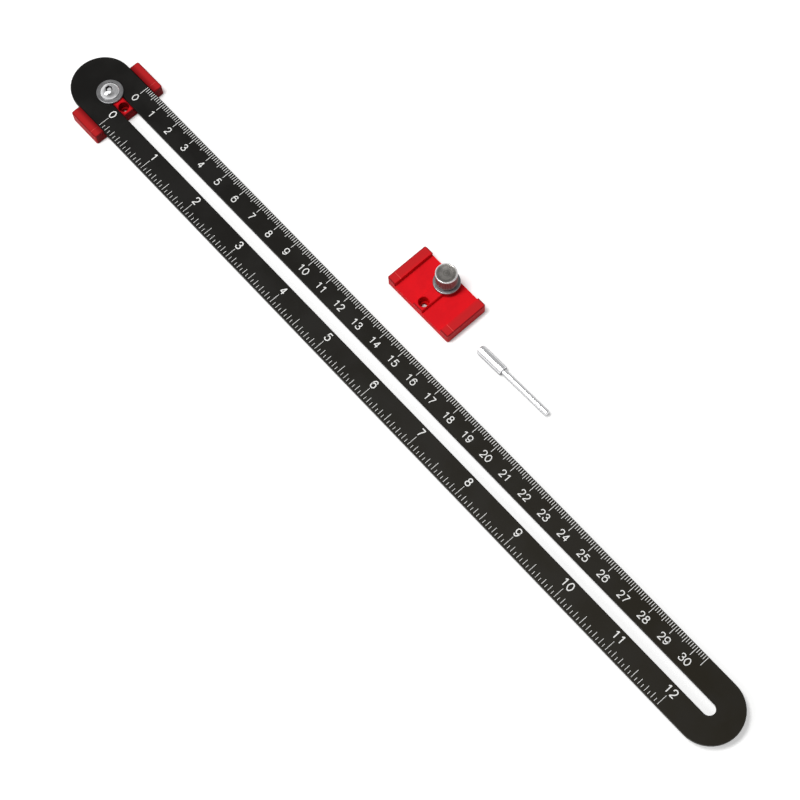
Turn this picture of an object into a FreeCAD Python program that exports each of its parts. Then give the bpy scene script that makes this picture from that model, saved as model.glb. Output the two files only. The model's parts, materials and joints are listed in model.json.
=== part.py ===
import FreeCAD, Part
import os
import Sketcher

# A beam compass: a slotted flat beam with two scales, a head block clamped at zero, a slider
# block lying off the beam beside it with its thumb screw, and a loose stepped pivot pin.
# The frame: X along the beam from the zero of both scales, Y across it towards the centimetre
# scale, Z up from the table, which is the underside of both blocks.

doc = FreeCAD.newDocument("BeamCompass")
sheet = doc.addObject("Spreadsheet::Sheet", "Sizes")

# alias, value in millimetres (a count or an angle where the note says so), note
SIZES = (
    ("beam_length", 356.0, "overall length of the beam"),
    ("beam_width", 25.0, "width, and twice the radius of the round ends"),
    ("beam_thickness", 2.0, "thickness of the beam"),
    ("beam_edge", 0.25, "broken edge all round the beam and its slot"),
    ("zero_inset", 25.7, "head end of the beam to the zero of both scales"),
    ("slot_width", 5.0, "width of the long slot"),
    ("slot_head_inset", 11.8, "head end of the beam to the slot"),
    ("slot_far_inset", 10.3, "far end of the beam to the slot"),
    ("mark_film", 0.02, "thickness of the white marking"),
    ("centimetre_mark_width", 0.21, "width of the centimetre scale's ticks"),
    ("inch_mark_width", 0.17, "width of the inch scale's ticks"),
    ("inch_mark_inset", 0.28, "edge of the beam's flat top to the inch scale's ticks"),
    ("millimetre", 1.0, "pitch of the centimetre scale's ticks"),
    ("centimetre_divisions", 10.0, "ticks to the centimetre, a count"),
    ("millimetre_count", 305.0, "ticks after zero on the centimetre scale, a count"),
    ("centimetre_tick", 4.0, "length of a numbered tick"),
    ("five_millimetre_tick", 2.75, "length of a tick halfway between"),
    ("millimetre_tick", 1.9, "length of the other ticks"),
    ("inch", 25.4, "one inch"),
    ("inch_count", 12.0, "inches on the scale, a count"),
    ("inch_divisions", 16.0, "ticks to the inch, a count"),
    ("inch_tick", 4.45, "length of a numbered tick"),
    ("half_inch_tick", 3.6, "length of a half inch tick"),
    ("eighth_inch_tick", 2.45, "length of a quarter or eighth inch tick"),
    ("sixteenth_inch_tick", 1.45, "length of the other ticks"),
    ("lip_width", 4.0, "thickness of a block's two side lips"),
    ("lip_fit", 0.1, "gap between a lip and the beam's edge"),
    ("lip_rise", 0.1, "top of the lips above the top of the beam"),
    ("floor_thickness", 3.3, "block under the beam"),
    ("rib_fit", 0.15, "gap between the rib and a side of the slot"),
    ("rib_drop", 0.2, "top of the rib below the top of the beam"),
    ("rib_edge", 0.2, "broken edges of the rib"),
    ("block_corner", 0.8, "radius of a block's upright corners"),
    ("block_edge", 0.3, "broken edges of a block"),
    ("head_block_length", 15.1, "head block along the beam"),
    ("slider_block_length", 19.0, "slider block along its rib"),
    ("hole_edge_distance", 3.3, "pivot hole to the near end of a block"),
    ("pivot_hole_diameter", 4.0, "upper bore for the pin's body"),
    ("pivot_hole_depth", 3.6, "depth of the upper bore below the rib's top"),
    ("point_hole_diameter", 2.4, "lower bore for the pin's point"),
    ("hole_edge", 0.3, "countersink at the top of the bore"),
    ("index_width", 0.25, "width of the index line on each lip"),
    ("index_depth", 0.12, "depth of the index line"),
    ("screw_thread", 4.0, "diameter of both clamping threads"),
    ("thread_fit", 0.05, "gap between a thread and its tapped hole"),
    ("head_screw_inset", 3.5, "far end of the head block to its screw"),
    ("head_screw_grip", 4.6, "thread of the head screw inside the block"),
    ("head_diameter", 7.6, "button head of the head screw"),
    ("head_height", 2.2, "height of the button head"),
    ("head_rounding", 1.9, "radius of the button head's shoulder"),
    ("socket_width", 2.5, "hexagon socket across flats"),
    ("socket_depth", 1.3, "depth of the hexagon socket"),
    ("head_washer_diameter", 10.6, "outside of the washer on the beam"),
    ("head_washer_thickness", 1.0, "thickness of that washer"),
    ("washer_fit", 0.1, "gap between a thread and a washer's hole"),
    ("washer_edge", 0.15, "broken edges of a washer"),
    ("knob_washer_diameter", 10.4, "outside of the washer under the knob"),
    ("knob_washer_thickness", 1.2, "thickness of that washer"),
    ("knob_inset", 4.3, "far end of the slider block to the thumb screw"),
    ("knob_grip", 4.6, "thread of the thumb screw inside the block"),
    ("knob_diameter", 8.4, "knurled knob"),
    ("knob_height", 7.0, "height of the knob"),
    ("knob_edge", 0.35, "polished bevel at the knob's rim"),
    ("knob_neck_diameter", 7.0, "plain neck at the foot of the knob"),
    ("knob_neck_height", 0.6, "height of that neck"),
    ("dish_diameter", 7.2, "shallow dish in the top of the knob"),
    ("dish_depth", 0.2, "depth of the dish"),
    ("knurl_count", 42.0, "grooves round the knob, a count"),
    ("knurl_depth", 0.22, "depth of a knurl groove"),
    ("knurl_width", 0.45, "width of a knurl groove at the surface"),
    ("stud_edge", 0.4, "bevel at the tip of a thread"),
    ("pin_fit", 0.05, "gap between the pin and its bores"),
    ("pin_body_length", 12.2, "thick part of the pin"),
    ("pin_point_length", 23.2, "thin part of the pin"),
    ("pin_edge", 0.3, "bevels of the thick part"),
    ("pin_tip_rounding", 0.8, "rounding of the pin's tip"),
    ("slider_along", 140.0, "zero to the slider's pivot hole, along the beam"),
    ("slider_gap", 14.1, "edge of the beam to the slider lying beside it"),
    ("slider_turn_degrees", -90.0, "how the slider lies, an angle in degrees"),
    ("pin_gap", 10.4, "side of the slider to the thick end of the pin"),
    ("pin_shift", 3.35, "slider's pivot hole to the pin, across the beam"),
    ("pin_turn_degrees", 1.1, "how the pin lies, an angle in degrees"),
    ("overrun", 1.0, "how far a cut runs past the face that it opens"),
)
for row, (alias, value, note) in enumerate(SIZES, start=1):
    sheet.set(f"A{row}", note)
    sheet.set(f"B{row}", str(value))
    sheet.setAlias(f"B{row}", alias)
doc.recompute()

# A sketch knows the spots of a piece of geometry, and its own two axes, by these numbers.
START, END, CENTRE = range(1, 4)
HORIZONTAL_AXIS, VERTICAL_AXIS = range(-1, -3, -1)
ORIGIN_POINT = (HORIZONTAL_AXIS, START)
FULL_TURN_DEGREES = 360
NEAR = 1e-6


def size(name):
    """The value that the sheet holds under an alias."""
    return sheet.get(name)


def bound(text):
    """An expression in which each alias of the sheet is written by its bare name."""
    words = {alias for alias, value, note in SIZES}
    pieces = []
    word = ""
    for letter in text + " ":
        if letter.isalpha() or letter == "_":
            word += letter
            continue
        if word:
            pieces.append(f"Sizes.{word}" if word in words else word)
            word = ""
        pieces.append(letter)
    return "".join(pieces).strip()


def value_of(text):
    """What such an expression is worth now, as a plain number."""
    worth = sheet.evalExpression(bound(text))
    return float(getattr(worth, "Value", worth))


def set_size(feature, **sizes):
    """Bind properties of a feature to expressions of the sheet."""
    for name, text in sizes.items():
        feature.setExpression(name, bound(text))


def set_place(feature, along="0", across="0", up="0"):
    """Bind the place of a feature or body to expressions of the sheet."""
    for letter, text in zip("xyz", (along, across, up)):
        feature.setExpression(f"Placement.Base.{letter}", bound(text))


def new_body(label):
    body = doc.addObject("PartDesign::Body", label.title().replace("_", ""))
    body.Label = label
    return body


def new_sketch(body, name, role="XY_Plane", height="0"):
    """A sketch on one of the body's own planes, raised by an expression."""
    sketch = body.newObject("Sketcher::SketchObject", name)
    plane = next(item for item in body.Origin.OriginFeatures if item.Role == role)
    sketch.AttachmentSupport = [(plane, "")]
    sketch.MapMode = "FlatFace"
    sketch.setExpression("AttachmentOffset.Base.z", bound(height))
    doc.recompute()
    return sketch


def fix_coordinate(sketch, kind, axis, point, text):
    """Hold one coordinate of a sketch point at an expression, on either side of the origin."""
    worth = value_of(text)
    if abs(worth) < NEAR:
        sketch.addConstraint(Sketcher.Constraint("PointOnObject", *point, axis))
        return
    ends = ORIGIN_POINT + point if worth > 0 else point + ORIGIN_POINT
    number = sketch.addConstraint(Sketcher.Constraint(kind, *ends, abs(worth)))
    text = text if worth > 0 else f"-({text})"
    sketch.setExpression(f"Constraints[{number}]", bound(text))


def draw_polygon(sketch, corners):
    """A closed polygon whose corners are pairs of expressions, every one bound to the sheet."""
    points = [FreeCAD.Vector(value_of(across), value_of(up), 0) for across, up in corners]
    first = sketch.GeometryCount
    count = len(points)
    for number, point in enumerate(points):
        sketch.addGeometry(Part.LineSegment(point, points[(number + 1) % count]), False)
    for number in range(count):
        here = first + number
        after = first + (number + 1) % count
        sketch.addConstraint(Sketcher.Constraint("Coincident", here, END, after, START))
    for number, (across, up) in enumerate(corners):
        point = (first + number, START)
        fix_coordinate(sketch, "DistanceX", VERTICAL_AXIS, point, across)
        fix_coordinate(sketch, "DistanceY", HORIZONTAL_AXIS, point, up)


def draw_circle(sketch, diameter):
    """A circle on the sketch's origin."""
    radius = value_of(diameter) / 2
    up = FreeCAD.Vector(0, 0, 1)
    number = sketch.addGeometry(Part.Circle(FreeCAD.Vector(), up, radius), False)
    sketch.addConstraint(Sketcher.Constraint("Coincident", number, CENTRE, *ORIGIN_POINT))
    held = sketch.addConstraint(Sketcher.Constraint("Radius", number, radius))
    sketch.setExpression(f"Constraints[{held}]", bound(f"({diameter}) / 2"))


def draw_stadium(sketch, low, high, width):
    """Two half circles joined by straight sides, centred on the sketch's X axis."""
    radius = value_of(width) / 2
    left = value_of(low) + radius
    right = value_of(high) - radius
    up = FreeCAD.Vector(0, 0, 1)
    top_line = sketch.addGeometry(
        Part.LineSegment(FreeCAD.Vector(left, radius, 0), FreeCAD.Vector(right, radius, 0)), False)
    low_line = sketch.addGeometry(
        Part.LineSegment(FreeCAD.Vector(left, -radius, 0), FreeCAD.Vector(right, -radius, 0)), False)
    quarter = FreeCAD.Units.parseQuantity("90 deg").getValueAs("rad").Value
    left_arc = sketch.addGeometry(Part.ArcOfCircle(
        Part.Circle(FreeCAD.Vector(left, 0, 0), up, radius), quarter, 3 * quarter), False)
    right_arc = sketch.addGeometry(Part.ArcOfCircle(
        Part.Circle(FreeCAD.Vector(right, 0, 0), up, radius), -quarter, quarter), False)
    sketch.addConstraint(Sketcher.Constraint("Tangent", top_line, START, left_arc, START))
    sketch.addConstraint(Sketcher.Constraint("Tangent", left_arc, END, low_line, START))
    sketch.addConstraint(Sketcher.Constraint("Tangent", low_line, END, right_arc, START))
    sketch.addConstraint(Sketcher.Constraint("Tangent", right_arc, END, top_line, END))
    sketch.addConstraint(Sketcher.Constraint("PointOnObject", left_arc, CENTRE, HORIZONTAL_AXIS))
    sketch.addConstraint(Sketcher.Constraint("PointOnObject", right_arc, CENTRE, HORIZONTAL_AXIS))
    held = sketch.addConstraint(Sketcher.Constraint("Radius", left_arc, radius))
    sketch.setExpression(f"Constraints[{held}]", bound(f"({width}) / 2"))
    for arc, text in ((left_arc, f"{low} + ({width}) / 2"), (right_arc, f"{high} - ({width}) / 2")):
        fix_coordinate(sketch, "DistanceX", VERTICAL_AXIS, (arc, CENTRE), text)


def pad(body, name, sketch, length):
    feature = body.newObject("PartDesign::Pad", name)
    feature.Profile = sketch
    set_size(feature, Length=length)
    doc.recompute()
    return feature


def pocket(body, name, sketch, depth):
    """Cut downwards from the sketch, and make sure that something was cut."""
    before = body.Shape.Volume
    feature = body.newObject("PartDesign::Pocket", name)
    feature.Profile = sketch
    set_size(feature, Length=depth)
    doc.recompute()
    assert body.Shape.Volume < before, f"{name} cut nothing"
    return feature


def revolve(body, name, sketch):
    """Turn a profile in the XZ plane a full turn about the sketch's own vertical axis."""
    feature = body.newObject("PartDesign::Revolution", name)
    feature.Profile = sketch
    feature.ReferenceAxis = (sketch, ["V_Axis"])
    feature.Angle = FULL_TURN_DEGREES
    doc.recompute()
    return feature


def edges_where(feature, wanted):
    """The names of the edges of a feature that pass a test."""
    found = enumerate(feature.Shape.Edges, start=1)
    return [f"Edge{number}" for number, edge in found if wanted(edge)]


def dress(body, kind, name, base, wanted, amount):
    """A fillet or chamfer of the edges of the base that pass a test."""
    feature = body.newObject(f"PartDesign::{kind}", name)
    feature.Base = (base, edges_where(base, wanted))
    set_size(feature, **{"Radius" if kind == "Fillet" else "Size": amount})
    doc.recompute()
    assert feature.isValid(), f"{name} failed"
    return feature


def is_level_at(edge, height):
    """Whether a whole edge lies at one height."""
    box = edge.BoundBox
    return abs(box.ZMin - height) < NEAR and abs(box.ZMax - height) < NEAR


def is_upright(edge):
    box = edge.BoundBox
    return box.XLength < NEAR and box.YLength < NEAR and box.ZLength > NEAR


def cut_box(body, name, box_sizes, corner):
    """Take a plain box out of a body. The box is given by its sizes and its lowest corner."""
    before = body.Shape.Volume
    feature = body.newObject("PartDesign::SubtractiveBox", name)
    set_size(feature, Length=box_sizes[0], Width=box_sizes[1], Height=box_sizes[2])
    set_place(feature, *corner)
    doc.recompute()
    assert body.Shape.Volume < before, f"{name} cut nothing"
    return feature


def cut_cylinder(body, name, radius, height, centre):
    """Take an upright cylinder out of a body, from a centre at its lower end."""
    before = body.Shape.Volume
    feature = body.newObject("PartDesign::SubtractiveCylinder", name)
    set_size(feature, Radius=radius, Height=height)
    set_place(feature, *centre)
    doc.recompute()
    assert body.Shape.Volume < before, f"{name} cut nothing"
    return feature


def cut_countersink(body, name, radius, depth, top):
    """Widen the upper end of a bore on the body's own Z axis to a 45 degree cone."""
    before = body.Shape.Volume
    feature = body.newObject("PartDesign::SubtractiveCone", name)
    set_size(feature, Radius1=radius, Radius2=f"{radius} + {depth} + overrun",
             Height=f"{depth} + overrun")
    set_place(feature, up=f"{top} - {depth}")
    doc.recompute()
    assert body.Shape.Volume < before, f"{name} cut nothing"
    return feature


# The beam: a flat bar with half round ends and one long slot, every edge broken.

def make_beam():
    body = new_body("beam")
    low = "-zero_inset"
    high = "beam_length - zero_inset"
    outline = new_sketch(body, "BeamOutline")
    draw_stadium(outline, low, high, "beam_width")
    draw_stadium(outline, f"{low} + slot_head_inset", f"{high} - slot_far_inset", "slot_width")
    plate = pad(body, "BeamPlate", outline, "beam_thickness")
    top = size("beam_thickness")
    dress(body, "Chamfer", "BeamEdges", plate,
          lambda edge: is_level_at(edge, 0) or is_level_at(edge, top), "beam_edge")
    set_place(body, up="floor_thickness")
    return body


# The two scales: thin white ticks on the beam's top face. They are hundreds of separate small
# solids in rows of several lengths, which is why each scale is one shape set from the sheet.

def make_scale(label, side, inset, count, pitch, width, length_of):
    """Ticks from one long edge of the beam inwards, the side being 1 or -1 across the beam."""
    top = value_of(BEAM_TOP)
    edge = size("beam_width") / 2 - size("beam_edge") - inset
    film = size("mark_film")
    ticks = []
    for number in range(count + 1):
        length = length_of(number)
        low = edge - length if side > 0 else -edge
        corner = FreeCAD.Vector(number * pitch - width / 2, low, 0)
        ticks.append(Part.makeBox(width, length, film, corner))
    scale = doc.addObject("Part::Feature", label.title().replace("_", ""))
    scale.Label = label
    scale.Shape = Part.makeCompound(ticks)
    scale.Placement = FreeCAD.Placement(FreeCAD.Vector(0, 0, top), FreeCAD.Rotation())
    return scale


def centimetre_scale_tick(number):
    """The last tick is a long one too, though it has no number."""
    divisions = int(size("centimetre_divisions"))
    if number % divisions == 0 or number == int(size("millimetre_count")):
        return size("centimetre_tick")
    if number % (divisions // 2) == 0:
        return size("five_millimetre_tick")
    return size("millimetre_tick")


def inch_scale_tick(number):
    divisions = int(size("inch_divisions"))
    if number % divisions == 0:
        return size("inch_tick")
    if number % (divisions // 2) == 0:
        return size("half_inch_tick")
    if number % 2 == 0:
        return size("eighth_inch_tick")
    return size("sixteenth_inch_tick")


def make_scales():
    centimetres = make_scale("centimetre_marks", 1, 0, int(size("millimetre_count")),
                             size("millimetre"), size("centimetre_mark_width"),
                             centimetre_scale_tick)
    divisions = int(size("inch_divisions"))
    inches = make_scale("inch_marks", -1, size("inch_mark_inset"),
                        int(size("inch_count")) * divisions, size("inch") / divisions,
                        size("inch_mark_width"), inch_scale_tick)
    return [centimetres, inches]


# The blocks: one channel section for both, open above, with a rib that runs in the slot. In a
# block's own frame its pivot hole is at the origin, and its screw on the negative X side.

CHANNEL = "(beam_width + 2 * lip_fit)"
BLOCK_WIDTH = f"({CHANNEL} + 2 * lip_width)"
BEAM_TOP = "(floor_thickness + beam_thickness)"
BLOCK_HEIGHT = f"({BEAM_TOP} + lip_rise)"
RIB_WIDTH = "(slot_width - 2 * rib_fit)"
RIB_TOP = f"({BEAM_TOP} - rib_drop)"
HEAD_SCREW_DISTANCE = "(head_block_length - hole_edge_distance - head_screw_inset)"
KNOB_DISTANCE = "(slider_block_length - hole_edge_distance - knob_inset)"
SLIDER_ACROSS = "(beam_width / 2 + slider_gap + hole_edge_distance)"


def make_block(label, length, screw_distance):
    body = new_body(label)
    far_end = f"(hole_edge_distance - {length})"
    blank = body.newObject("PartDesign::AdditiveBox", f"{body.Name}Blank")
    set_size(blank, Length=length, Width=BLOCK_WIDTH, Height=BLOCK_HEIGHT)
    set_place(blank, far_end, f"-{BLOCK_WIDTH} / 2")
    doc.recompute()
    corners = dress(body, "Fillet", f"{body.Name}Corners", blank, is_upright, "block_corner")
    top = value_of(BLOCK_HEIGHT)
    dress(body, "Chamfer", f"{body.Name}Edges", corners,
          lambda edge: is_level_at(edge, 0) or is_level_at(edge, top), "block_edge")
    channel_sizes = (f"{length} + 2 * overrun", f"({CHANNEL} - {RIB_WIDTH}) / 2",
                     "beam_thickness + lip_rise + overrun")
    for side, start in (("Left", f"{RIB_WIDTH} / 2"), ("Right", f"-{CHANNEL} / 2")):
        cut_box(body, f"{body.Name}{side}Channel", channel_sizes,
                (f"{far_end} - overrun", start, "floor_thickness"))
    cut_box(body, f"{body.Name}RibTop",
            (f"{length} + 2 * overrun", f"{RIB_WIDTH} + 2 * overrun", "rib_drop + lip_rise + overrun"),
            (f"{far_end} - overrun", f"-{RIB_WIDTH} / 2 - overrun", RIB_TOP))
    rib_top = value_of(RIB_TOP)
    rib_half = value_of(RIB_WIDTH) / 2
    dress(body, "Chamfer", f"{body.Name}RibEdges", body.Tip,
          lambda edge: is_level_at(edge, rib_top) and edge.BoundBox.YLength < NEAR
          and abs(abs(edge.BoundBox.YMin) - rib_half) < NEAR, "rib_edge")
    cut_cylinder(body, f"{body.Name}PointHole", "point_hole_diameter / 2",
                 f"{BLOCK_HEIGHT} + 2 * overrun", ("0", "0", "-overrun"))
    cut_cylinder(body, f"{body.Name}PivotHole", "pivot_hole_diameter / 2",
                 "pivot_hole_depth + overrun", ("0", "0", f"{RIB_TOP} - pivot_hole_depth"))
    cut_countersink(body, f"{body.Name}PivotEdge", "pivot_hole_diameter / 2", "hole_edge", RIB_TOP)
    cut_cylinder(body, f"{body.Name}TappedHole", "screw_thread / 2 + thread_fit",
                 f"{BLOCK_HEIGHT} + 2 * overrun", (f"-{screw_distance}", "0", "-overrun"))
    for side, start in (("Left", f"{CHANNEL} / 2 - overrun"),
                        ("Right", f"-{BLOCK_WIDTH} / 2 - overrun")):
        cut_box(body, f"{body.Name}{side}Index",
                ("index_width", "lip_width + 2 * overrun", "index_depth + overrun"),
                ("-index_width / 2", start, f"{BLOCK_HEIGHT} - index_depth"))
    return body


# Washers: flat rings with broken edges. Local Z starts at the underside.

def make_washer(label, diameter, thickness):
    body = new_body(label)
    ring = new_sketch(body, f"{body.Name}Ring")
    draw_circle(ring, diameter)
    draw_circle(ring, "screw_thread + 2 * washer_fit")
    disc = pad(body, f"{body.Name}Disc", ring, thickness)
    top = value_of(thickness)
    dress(body, "Chamfer", f"{body.Name}Edges", disc,
          lambda edge: is_level_at(edge, 0) or is_level_at(edge, top), "washer_edge")
    return body


# The head screw: a button head with a hexagon socket. Local Z starts under the head, and the
# thread runs down through the washer and the slot into the block.

def make_head_screw():
    body = new_body("head_screw")
    thread_length = "(head_washer_thickness + rib_drop + head_screw_grip)"
    profile = new_sketch(body, "HeadScrewProfile", "XZ_Plane")
    draw_polygon(profile, (
        ("0", f"-{thread_length}"),
        ("screw_thread / 2 - stud_edge", f"-{thread_length}"),
        ("screw_thread / 2", f"stud_edge - {thread_length}"),
        ("screw_thread / 2", "0"),
        ("head_diameter / 2", "0"),
        ("head_diameter / 2", "head_height"),
        ("0", "head_height"),
    ))
    turned = revolve(body, "HeadScrewTurned", profile)
    top = size("head_height")
    dress(body, "Fillet", "HeadScrewShoulder", turned,
          lambda edge: is_level_at(edge, top) and edge.Closed, "head_rounding")
    socket = new_sketch(body, "HeadScrewSocket", height="head_height")
    flat = "socket_width / 2"
    half_flat = f"{flat} * tan(30 deg)"
    corner = f"{flat} / cos(30 deg)"
    draw_polygon(socket, (
        (flat, half_flat), ("0", corner), (f"-{flat}", half_flat),
        (f"-{flat}", f"-{half_flat}"), ("0", f"-{corner}"), (flat, f"-{half_flat}"),
    ))
    pocket(body, "HeadScrewSocketCut", socket, "socket_depth")
    return body


# The thumb screw: a knurled knob on a plain neck, with its threaded stud. Local Z starts at the
# neck's foot, which seats on the washer.

def make_thumb_screw():
    body = new_body("thumb_screw")
    stud_length = "(knob_washer_thickness + knob_grip)"
    profile = new_sketch(body, "ThumbScrewProfile", "XZ_Plane")
    draw_polygon(profile, (
        ("0", f"-{stud_length}"),
        ("screw_thread / 2 - stud_edge", f"-{stud_length}"),
        ("screw_thread / 2", f"stud_edge - {stud_length}"),
        ("screw_thread / 2", "0"),
        ("knob_neck_diameter / 2", "0"),
        ("knob_neck_diameter / 2", "knob_neck_height"),
        ("knob_diameter / 2 - knob_edge", "knob_neck_height"),
        ("knob_diameter / 2", "knob_neck_height + knob_edge"),
        ("knob_diameter / 2", "knob_height - knob_edge"),
        ("knob_diameter / 2 - knob_edge", "knob_height"),
        ("dish_diameter / 2", "knob_height"),
        ("dish_diameter / 2 - dish_depth", "knob_height - dish_depth"),
        ("0", "knob_height - dish_depth"),
    ))
    revolve(body, "ThumbScrewTurned", profile)
    groove = new_sketch(body, "KnurlGroove", height="knob_height - knob_edge")
    rim = "knob_diameter / 2"
    draw_polygon(groove, (
        (f"{rim} - knurl_depth", "0"),
        (rim, "knurl_width / 2"),
        (f"{rim} + overrun", "knurl_width / 2"),
        (f"{rim} + overrun", "-knurl_width / 2"),
        (rim, "-knurl_width / 2"),
    ))
    cut = pocket(body, "KnurlCut", groove, "knob_height - 2 * knob_edge - knob_neck_height")
    knurl = body.newObject("PartDesign::PolarPattern", "Knurl")
    knurl.Originals = [cut]
    upright = next(item for item in body.Origin.OriginFeatures if item.Role == "Z_Axis")
    knurl.Axis = (upright, [""])
    knurl.Angle = FULL_TURN_DEGREES
    set_size(knurl, Occurrences="knurl_count")
    body.Tip = knurl
    doc.recompute()
    return body


# The pivot pin: a thick body and a thin point, lying on the table. Its profile is drawn along
# local Z, thick end at the origin, and the pin is then laid down along X.

def make_pivot_pin():
    body = new_body("pivot_pin")
    thick = "(pivot_hole_diameter / 2 - pin_fit)"
    thin = "(point_hole_diameter / 2 - pin_fit)"
    profile = new_sketch(body, "PivotPinProfile", "XZ_Plane")
    draw_polygon(profile, (
        ("0", "0"),
        (f"{thick} - pin_edge", "0"),
        (thick, "pin_edge"),
        (thick, "pin_body_length - pin_edge"),
        (f"{thick} - pin_edge", "pin_body_length"),
        (thin, "pin_body_length"),
        (thin, "pin_body_length + pin_point_length"),
        ("0", "pin_body_length + pin_point_length"),
    ))
    turned = revolve(body, "PivotPinTurned", profile)
    tip = value_of("pin_body_length + pin_point_length")
    dress(body, "Fillet", "PivotPinTip", turned,
          lambda edge: is_level_at(edge, tip) and edge.Closed, "pin_tip_rounding")
    laid_down = FreeCAD.Rotation(FreeCAD.Vector(0, 1, 0), FULL_TURN_DEGREES / 4)
    turned_round = FreeCAD.Rotation(FreeCAD.Vector(0, 0, 1), size("pin_turn_degrees"))
    body.Placement = FreeCAD.Placement(FreeCAD.Vector(), turned_round.multiply(laid_down))
    set_place(body, f"slider_along + {BLOCK_WIDTH} / 2 + pin_gap",
              f"{SLIDER_ACROSS} + pin_shift", thick)
    return body


# Assembly: what sits on what, by the same sizes.

beam = make_beam()
scales = make_scales()

head_block = make_block("head_block", "head_block_length", HEAD_SCREW_DISTANCE)
head_washer = make_washer("head_washer", "head_washer_diameter", "head_washer_thickness")
set_place(head_washer, f"-{HEAD_SCREW_DISTANCE}", "0", BEAM_TOP)
head_screw = make_head_screw()
set_place(head_screw, f"-{HEAD_SCREW_DISTANCE}", "0", f"{BEAM_TOP} + head_washer_thickness")

quarter_round = FreeCAD.Rotation(FreeCAD.Vector(0, 0, 1), size("slider_turn_degrees"))
slider_block = make_block("slider_block", "slider_block_length", KNOB_DISTANCE)
slider_block.Placement = FreeCAD.Placement(FreeCAD.Vector(), quarter_round)
set_place(slider_block, "slider_along", SLIDER_ACROSS)
knob_along = f"slider_along - {KNOB_DISTANCE} * cos(slider_turn_degrees * 1 deg)"
knob_across = f"{SLIDER_ACROSS} - {KNOB_DISTANCE} * sin(slider_turn_degrees * 1 deg)"
knob_washer = make_washer("knob_washer", "knob_washer_diameter", "knob_washer_thickness")
set_place(knob_washer, knob_along, knob_across, RIB_TOP)
thumb_screw = make_thumb_screw()
set_place(thumb_screw, knob_along, knob_across, f"{RIB_TOP} + knob_washer_thickness")

pivot_pin = make_pivot_pin()
doc.recompute()

PIECES = [beam, *scales, head_block, head_washer, head_screw,
          slider_block, knob_washer, thumb_screw, pivot_pin]

for item in doc.Objects:
    assert "Invalid" not in item.State and "Error" not in item.State, f"{item.Name} failed"
for piece in PIECES:
    assert not piece.Shape.isNull() and piece.Shape.isValid(), f"{piece.Label} has no valid shape"

os.makedirs("parts", exist_ok=True)
for piece in PIECES:
    piece.Shape.exportStep(f"parts/{piece.Label}.step")
    box = piece.Shape.BoundBox
    print(f"{piece.Label}: {len(piece.Shape.Solids)} solid(s), {piece.Shape.Volume:.2f} mm3, "
          f"x {box.XMin:.2f} to {box.XMax:.2f}, y {box.YMin:.2f} to {box.YMax:.2f}, "
          f"z {box.ZMin:.2f} to {box.ZMax:.2f}")
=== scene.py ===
import json
import math

import bmesh
import bpy
from mathutils import Euler, Matrix, Vector


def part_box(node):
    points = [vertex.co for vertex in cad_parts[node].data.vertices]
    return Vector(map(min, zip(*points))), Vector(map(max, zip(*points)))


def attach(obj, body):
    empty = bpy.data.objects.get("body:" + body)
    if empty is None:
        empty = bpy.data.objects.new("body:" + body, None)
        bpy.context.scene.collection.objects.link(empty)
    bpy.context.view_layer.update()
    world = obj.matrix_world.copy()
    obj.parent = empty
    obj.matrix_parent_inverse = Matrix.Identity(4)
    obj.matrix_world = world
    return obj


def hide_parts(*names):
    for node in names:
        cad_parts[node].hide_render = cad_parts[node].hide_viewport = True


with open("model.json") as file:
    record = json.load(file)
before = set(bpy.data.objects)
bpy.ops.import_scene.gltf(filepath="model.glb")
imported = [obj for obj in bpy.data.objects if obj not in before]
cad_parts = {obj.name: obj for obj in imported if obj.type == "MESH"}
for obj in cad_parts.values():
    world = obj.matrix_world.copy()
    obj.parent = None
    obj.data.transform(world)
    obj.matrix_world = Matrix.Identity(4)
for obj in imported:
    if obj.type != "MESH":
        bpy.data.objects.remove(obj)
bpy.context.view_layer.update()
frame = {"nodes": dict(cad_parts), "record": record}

scene = bpy.context.scene
scene.view_settings.view_transform = "Standard"
nodes = frame["nodes"]
mm = 0.001
print("frame loaded with", len(nodes), "nodes")


# Small helpers for node trees

def newMaterial(name):
    material = bpy.data.materials.new(name)
    material.use_nodes = True
    tree = material.node_tree
    return material, tree, tree.nodes["Principled BSDF"]


def addNode(tree, kind, **values):
    node = tree.nodes.new(kind)
    for key, value in values.items():
        setattr(node, key, value)
    return node


def plug(tree, socket, value):
    # a socket, a number or a colour goes into an input
    if isinstance(value, bpy.types.NodeSocket):
        tree.links.new(value, socket)
    elif isinstance(value, (int, float)):
        socket.default_value = value
    else:
        socket.default_value = tuple(value) + (1,) * (len(socket.default_value) - len(value))


def mathNode(tree, operation, *values, clamp=False):
    node = addNode(tree, "ShaderNodeMath", operation=operation, use_clamp=clamp)
    for socket, value in zip(node.inputs, values):
        plug(tree, socket, value)
    return node.outputs[0]


def remap(tree, value, fromLow, fromHigh, toLow=0.0, toHigh=1.0):
    # a smooth step from one span of values to another
    node = addNode(tree, "ShaderNodeMapRange", interpolation_type="SMOOTHSTEP")
    for socket, given in zip(node.inputs, (value, fromLow, fromHigh, toLow, toHigh)):
        plug(tree, socket, given)
    return node.outputs[0]


def mixColour(tree, factor, first, second):
    # a Mix node's colour sockets come after the ones for numbers and vectors
    node = addNode(tree, "ShaderNodeMix", data_type="RGBA")
    for index, value in ((0, factor), (6, first), (7, second)):
        plug(tree, node.inputs[index], value)
    return node.outputs[2]


def mixValue(tree, factor, first, second):
    node = addNode(tree, "ShaderNodeMix", data_type="FLOAT")
    for index, value in ((0, factor), (2, first), (3, second)):
        plug(tree, node.inputs[index], value)
    return node.outputs[0]


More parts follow.
